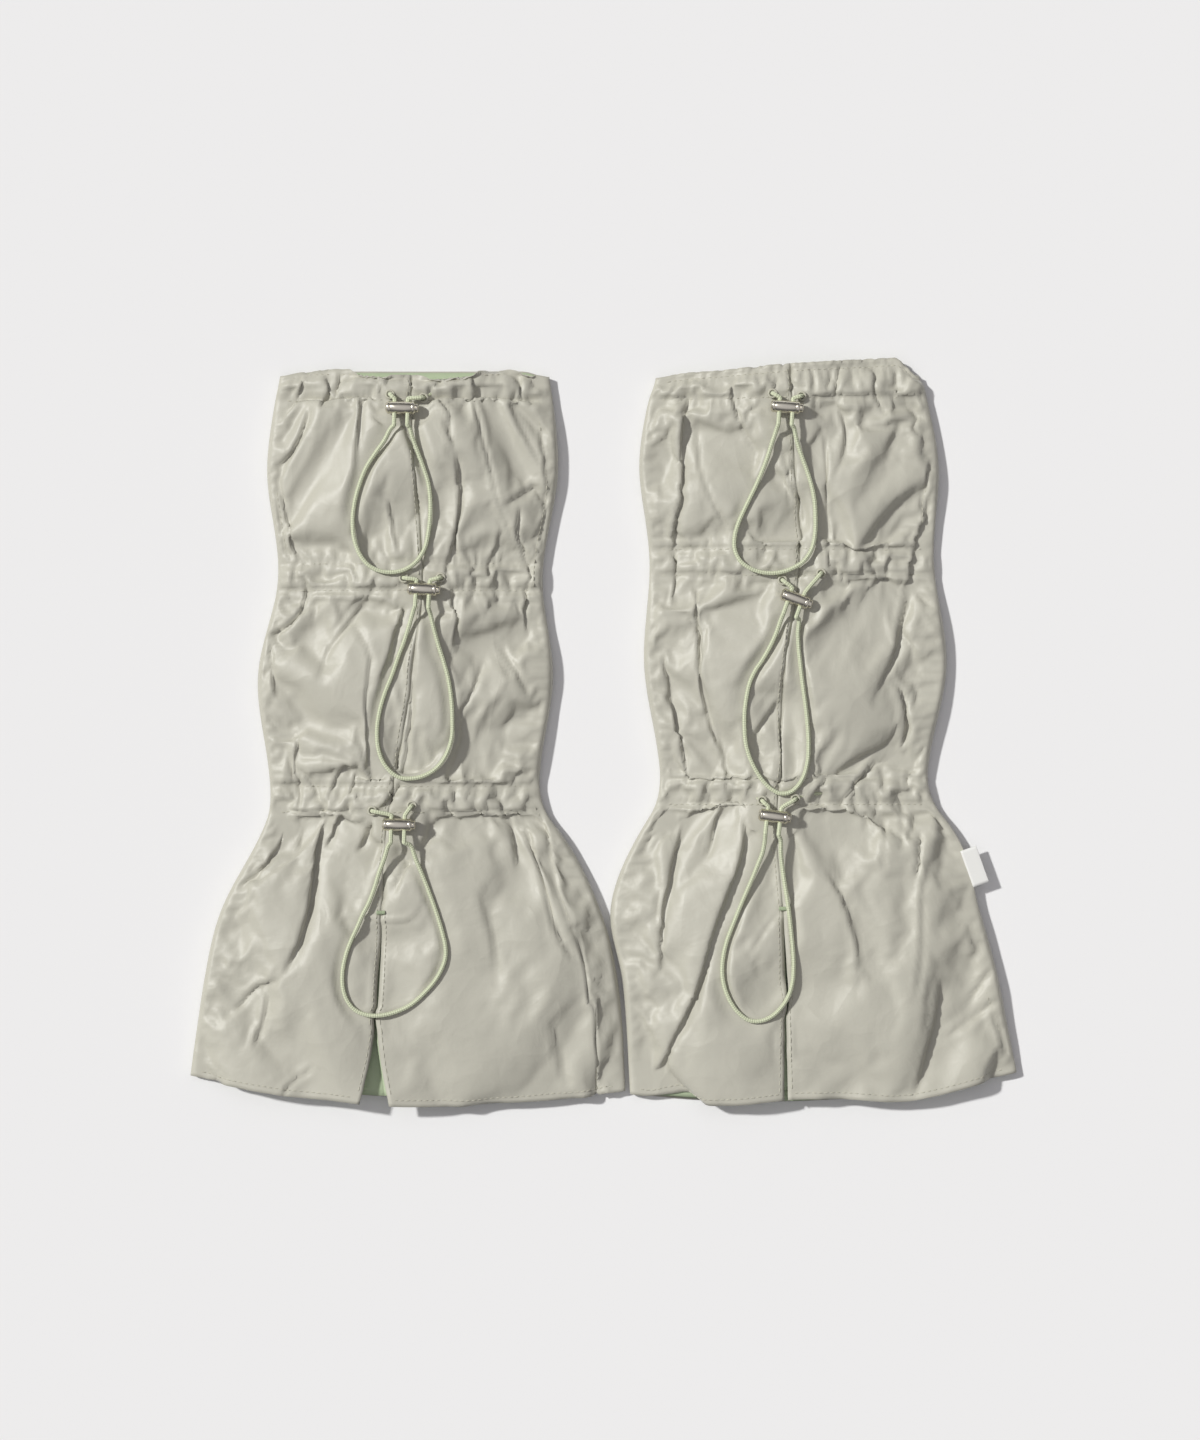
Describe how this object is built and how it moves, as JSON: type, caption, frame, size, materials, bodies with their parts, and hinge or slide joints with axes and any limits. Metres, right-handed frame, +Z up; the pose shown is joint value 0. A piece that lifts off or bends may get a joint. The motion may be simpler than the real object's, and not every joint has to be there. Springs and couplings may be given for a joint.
{
  "type": "drawcord gaiters",
  "caption": "Pair of lined nylon drawcord gaiters lying flat: knee, calf and ankle cords with metal barrel locks, flared slit skirts and a plain side label.",
  "frame": {"origin": "middle of the pair's outline on the surface it lies on", "axes": "+X across the pair, +Y towards the knee end, +Z up off the surface"},
  "size_m": [0.4739, 0.4273, 0.0244],
  "materials": {
    "outer_nylon": "beige-grey nylon taffeta with a soft satin sheen",
    "lining_nylon": "pale sage-green nylon lining",
    "elastic_cord": "pale sage round elastic cord with a braided cover",
    "eyelet_thread": "beige satin-stitch thread",
    "tack_thread": "sage-green bartack thread",
    "lock_nickel": "polished nickel-plated zinc alloy",
    "spring_steel": "bright spring wire",
    "label_weave": "white woven tape, plain"
  },
  "bodies": {
    "left_gaiter": {"left_outer_front_left": "outer_nylon", "left_outer_front_right": "outer_nylon", "left_outer_back": "outer_nylon", "left_lining_front_left": "lining_nylon", "left_lining_front_right": "lining_nylon", "left_lining_back": "lining_nylon", "left_knee_cord_run": "elastic_cord", "left_knee_eyelet_left": "eyelet_thread", "left_knee_eyelet_right": "eyelet_thread", "left_calf_cord_run": "elastic_cord", "left_calf_eyelet_left": "eyelet_thread", "left_calf_eyelet_right": "eyelet_thread", "left_ankle_cord_run": "elastic_cord", "left_ankle_eyelet_left": "eyelet_thread", "left_ankle_eyelet_right": "eyelet_thread", "left_slit_tack": "tack_thread"},
    "right_gaiter": {"right_outer_front_left": "outer_nylon", "right_outer_front_right": "outer_nylon", "right_outer_back": "outer_nylon", "right_lining_front_left": "lining_nylon", "right_lining_front_right": "lining_nylon", "right_lining_back": "lining_nylon", "right_knee_cord_run": "elastic_cord", "right_knee_eyelet_left": "eyelet_thread", "right_knee_eyelet_right": "eyelet_thread", "right_calf_cord_run": "elastic_cord", "right_calf_eyelet_left": "eyelet_thread", "right_calf_eyelet_right": "eyelet_thread", "right_ankle_cord_run": "elastic_cord", "right_ankle_eyelet_left": "eyelet_thread", "right_ankle_eyelet_right": "eyelet_thread", "right_slit_tack": "tack_thread"},
    "left_knee_loop": {"left_knee_cord_loop": "elastic_cord"},
    "left_knee_lock": {"left_knee_lock_shell": "lock_nickel", "left_knee_lock_spring": "spring_steel"},
    "left_knee_plunger": {"left_knee_lock_plunger": "lock_nickel"},
    "left_calf_loop": {"left_calf_cord_loop": "elastic_cord"},
    "left_calf_lock": {"left_calf_lock_shell": "lock_nickel", "left_calf_lock_spring": "spring_steel"},
    "left_calf_plunger": {"left_calf_lock_plunger": "lock_nickel"},
    "left_ankle_loop": {"left_ankle_cord_loop": "elastic_cord"},
    "left_ankle_lock": {"left_ankle_lock_shell": "lock_nickel", "left_ankle_lock_spring": "spring_steel"},
    "left_ankle_plunger": {"left_ankle_lock_plunger": "lock_nickel"},
    "right_knee_loop": {"right_knee_cord_loop": "elastic_cord"},
    "right_knee_lock": {"right_knee_lock_shell": "lock_nickel", "right_knee_lock_spring": "spring_steel"},
    "right_knee_plunger": {"right_knee_lock_plunger": "lock_nickel"},
    "right_calf_loop": {"right_calf_cord_loop": "elastic_cord"},
    "right_calf_lock": {"right_calf_lock_shell": "lock_nickel", "right_calf_lock_spring": "spring_steel"},
    "right_calf_plunger": {"right_calf_lock_plunger": "lock_nickel"},
    "right_ankle_loop": {"right_ankle_cord_loop": "elastic_cord"},
    "right_ankle_lock": {"right_ankle_lock_shell": "lock_nickel", "right_ankle_lock_spring": "spring_steel"},
    "right_ankle_plunger": {"right_ankle_lock_plunger": "lock_nickel"},
    "right_label": {"right_side_label": "label_weave"}
  },
  "joints": [
    {"name": "right_gaiter_slide", "type": "slide", "parent": "left_gaiter", "child": "right_gaiter", "axis": [1, 0, 0], "range_m": [0, 0.1]},
    {"name": "left_knee_loop_lift", "type": "hinge", "parent": "left_gaiter", "child": "left_knee_loop", "pos_m": [-0.11218, 0.1895, 0.0193], "axis": [-0.9945, 0.1047, 0], "range_deg": [0, 100]},
    {"name": "left_knee_lock_slide", "type": "slide", "parent": "left_knee_loop", "child": "left_knee_lock", "axis": [-0.0171, -0.978, 0.2079], "range_m": [0, 0.005]},
    {"name": "left_knee_plunger_press", "type": "slide", "parent": "left_knee_lock", "child": "left_knee_plunger", "axis": [-0.9998, 0.0174, 0], "range_m": [0, 0.001], "stiffness_N_per_m": 300, "springref_m": -0.002, "deforming": ["left_knee_lock_spring"]},
    {"name": "left_calf_loop_lift", "type": "hinge", "parent": "left_gaiter", "child": "left_calf_loop", "pos_m": [-0.10339, 0.0859, 0.0193], "axis": [-1, -0.0095, 0], "range_deg": [0, 100]},
    {"name": "left_calf_lock_slide", "type": "slide", "parent": "left_calf_loop", "child": "left_calf_lock", "axis": [-0.0512, -0.9768, 0.2079], "range_m": [0, 0.005]},
    {"name": "left_calf_plunger_press", "type": "slide", "parent": "left_calf_lock", "child": "left_calf_plunger", "axis": [-0.9986, 0.0523, 0], "range_m": [0, 0.001], "stiffness_N_per_m": 300, "springref_m": -0.002, "deforming": ["left_calf_lock_spring"]},
    {"name": "left_ankle_loop_lift", "type": "hinge", "parent": "left_gaiter", "child": "left_ankle_loop", "pos_m": [-0.1206, -0.0455, 0.0193], "axis": [-0.9912, -0.1322, 0], "range_deg": [0, 100]},
    {"name": "left_ankle_lock_slide", "type": "slide", "parent": "left_ankle_loop", "child": "left_ankle_lock", "axis": [-0.0171, -0.978, 0.2079], "range_m": [0, 0.005]},
    {"name": "left_ankle_plunger_press", "type": "slide", "parent": "left_ankle_lock", "child": "left_ankle_plunger", "axis": [-0.9998, 0.0174, 0], "range_m": [0, 0.001], "stiffness_N_per_m": 300, "springref_m": -0.002, "deforming": ["left_ankle_lock_spring"]},
    {"name": "right_knee_loop_lift", "type": "hinge", "parent": "right_gaiter", "child": "right_knee_loop", "pos_m": [0.10466, 0.19025, 0.0193], "axis": [-0.9959, 0.0905, 0], "range_deg": [0, 100]},
    {"name": "right_knee_lock_slide", "type": "slide", "parent": "right_knee_loop", "child": "right_knee_lock", "axis": [-0.0682, -0.9758, 0.2079], "range_m": [0, 0.005]},
    {"name": "right_knee_plunger_press", "type": "slide", "parent": "right_knee_lock", "child": "right_knee_plunger", "axis": [-0.9976, 0.0698, 0], "range_m": [0, 0.001], "stiffness_N_per_m": 300, "springref_m": -0.002, "deforming": ["right_knee_lock_spring"]},
    {"name": "right_calf_loop_lift", "type": "hinge", "parent": "right_gaiter", "child": "right_calf_loop", "pos_m": [0.11306, 0.0865, 0.0193], "axis": [-0.9839, -0.1789, 0], "range_deg": [0, 100]},
    {"name": "right_calf_lock_slide", "type": "slide", "parent": "right_calf_loop", "child": "right_calf_lock", "axis": [-0.3345, -0.9192, 0.2079], "range_m": [0, 0.005]},
    {"name": "right_calf_plunger_press", "type": "slide", "parent": "right_calf_lock", "child": "right_calf_plunger", "axis": [-0.9397, 0.342, 0], "range_m": [0, 0.001], "stiffness_N_per_m": 300, "springref_m": -0.002, "deforming": ["right_calf_lock_spring"]},
    {"name": "right_ankle_loop_lift", "type": "hinge", "parent": "right_gaiter", "child": "right_ankle_loop", "pos_m": [0.09995, -0.0407, 0.0193], "axis": [-0.9986, -0.0526, 0], "range_deg": [0, 100]},
    {"name": "right_ankle_lock_slide", "type": "slide", "parent": "right_ankle_loop", "child": "right_ankle_lock", "axis": [-0.1192, -0.9709, 0.2079], "range_m": [0, 0.005]},
    {"name": "right_ankle_plunger_press", "type": "slide", "parent": "right_ankle_lock", "child": "right_ankle_plunger", "axis": [-0.9925, 0.1219, 0], "range_m": [0, 0.001], "stiffness_N_per_m": 300, "springref_m": -0.002, "deforming": ["right_ankle_lock_spring"]},
    {"name": "right_label_flap", "type": "hinge", "parent": "right_gaiter", "child": "right_label", "pos_m": [0.20798, -0.08071, 0.0085], "axis": [0.3398, -0.9405, 0], "range_deg": [-50, 80], "stiffness_Nm_per_rad": 0.0004}
  ]
}
